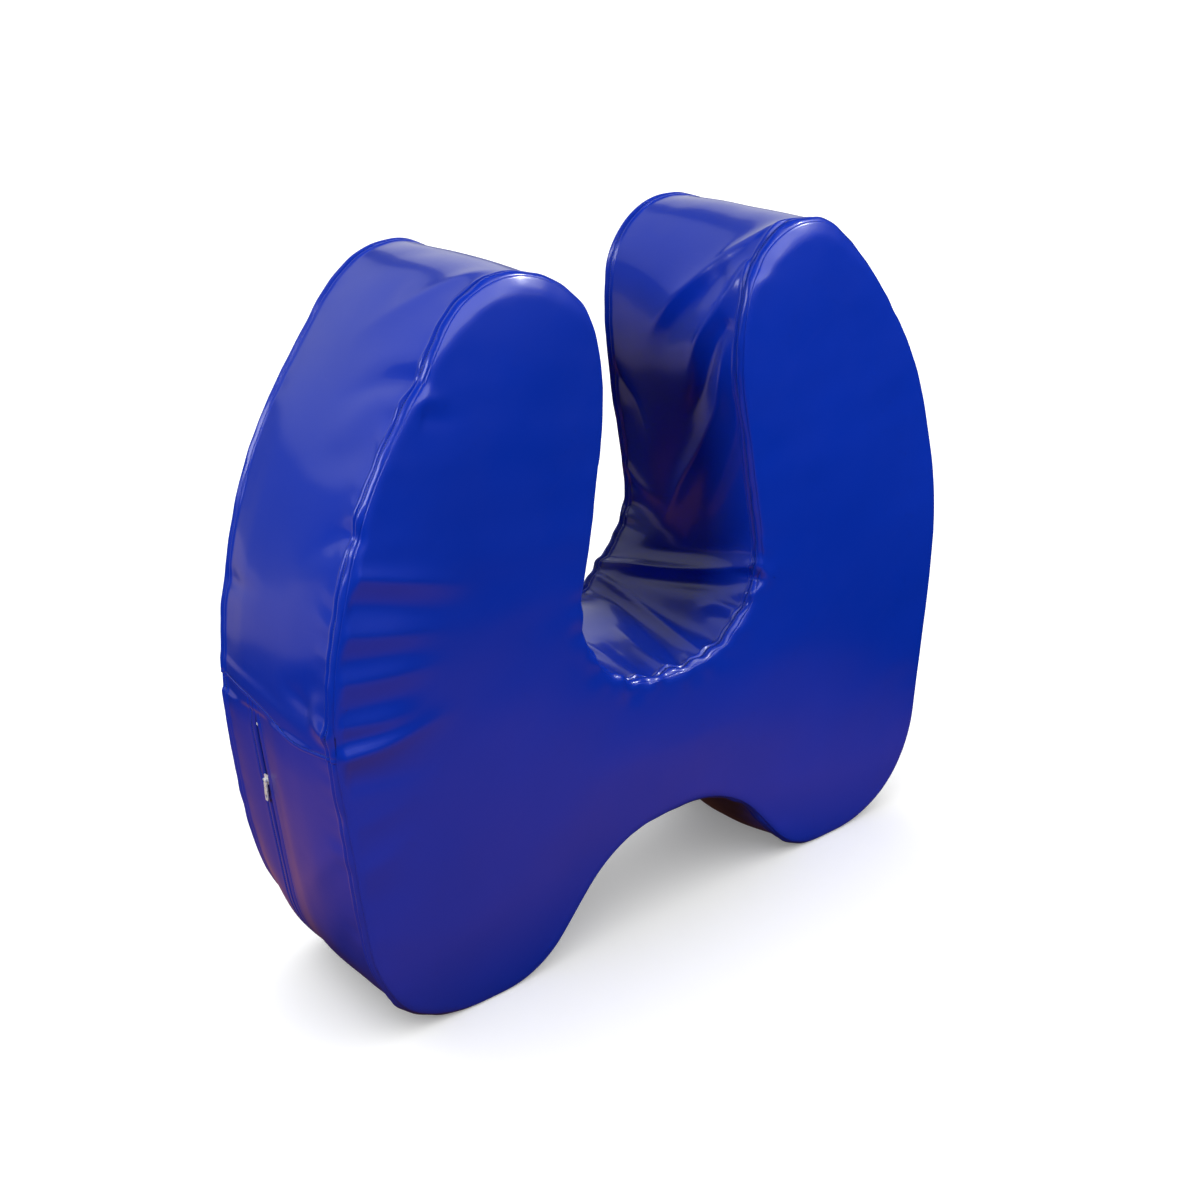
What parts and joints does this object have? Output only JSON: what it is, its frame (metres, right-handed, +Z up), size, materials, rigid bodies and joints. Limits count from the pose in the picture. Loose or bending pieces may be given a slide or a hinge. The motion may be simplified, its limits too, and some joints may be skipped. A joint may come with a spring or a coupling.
{
  "type": "foam gymnastics block",
  "caption": "Free-standing foam gymnastics block with a keyhole notch between two rounded lobes and an arch between its feet, in a sewn vinyl cover with a zip.",
  "frame": {"origin": "on the floor, at the middle of the block's width and depth", "axes": "+Z up, +X across the width, +Y through the depth from the front panel to the back panel; the zip's slider is on the -X side"},
  "size_m": [1.1178, 0.3, 1],
  "materials": {
    "blue_vinyl": "supple PVC-coated fabric, glossy, fine grain",
    "foam": "polyurethane foam, matt charcoal",
    "zip_tape": "woven polyester tape, dark blue",
    "zip_coil": "nylon coil, dark blue",
    "zip_metal": "bright nickel plate",
    "thread": "bonded polyester thread, blue"
  },
  "bodies": {
    "root": {"foam_core": "foam", "front_panel": "blue_vinyl", "back_panel": "blue_vinyl", "upper_band": "blue_vinyl", "lower_band_front": "blue_vinyl", "lower_band_back": "blue_vinyl", "zip_tape_front": "zip_tape", "zip_tape_back": "zip_tape", "zip_coil_front": "zip_coil", "zip_coil_back": "zip_coil", "zip_top_stop": "zip_metal", "zip_bottom_stop": "zip_metal", "topstitch_front": "thread", "topstitch_back": "thread", "zip_stitch_front": "thread", "zip_stitch_back": "thread", "lap_stitch_left": "thread", "lap_stitch_right": "thread"},
    "slider": {"zip_slider": "zip_metal"},
    "pull": {"zip_pull": "zip_metal"}
  },
  "joints": [
    {"name": "zip_slide", "type": "slide", "parent": "root", "child": "slider", "axis": [-0.0966, 0, 0.9953], "range_m": [-0.155, 0.06]},
    {"name": "pull_hinge", "type": "hinge", "parent": "slider", "child": "pull", "pos_m": [-0.5525, 0.055, 0.33663], "axis": [0, 1, 0], "range_deg": [-5, 165]}
  ]
}
